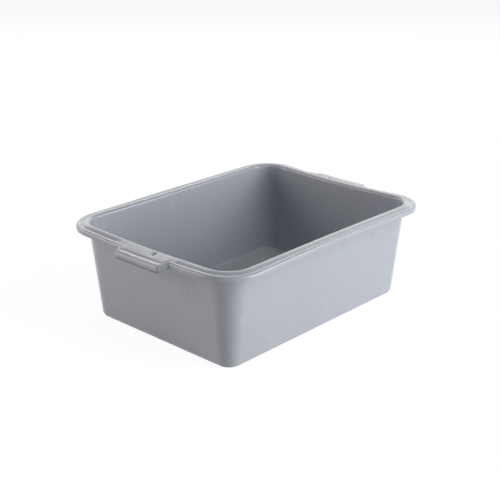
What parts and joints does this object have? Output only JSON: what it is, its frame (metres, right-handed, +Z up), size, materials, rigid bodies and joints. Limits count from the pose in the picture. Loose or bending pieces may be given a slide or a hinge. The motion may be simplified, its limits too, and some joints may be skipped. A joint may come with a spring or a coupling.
{
  "type": "bus tub",
  "caption": "Deep open tub moulded in one piece, with tapered walls, a rolled rim and a hollow grip with a hanging slot at each short end.",
  "frame": {"origin": "middle of the footprint, on the surface the tub stands on", "axes": "+X along the tub towards one of its two alike grip ends, +Y across it, +Z up out of its open mouth"},
  "size_m": [0.548, 0.3944, 0.174],
  "materials": {
    "tub_plastic": "satin moulded polyethylene, slightly bluish grey"
  },
  "bodies": {
    "root": {"tub": "tub_plastic"}
  },
  "joints": []
}
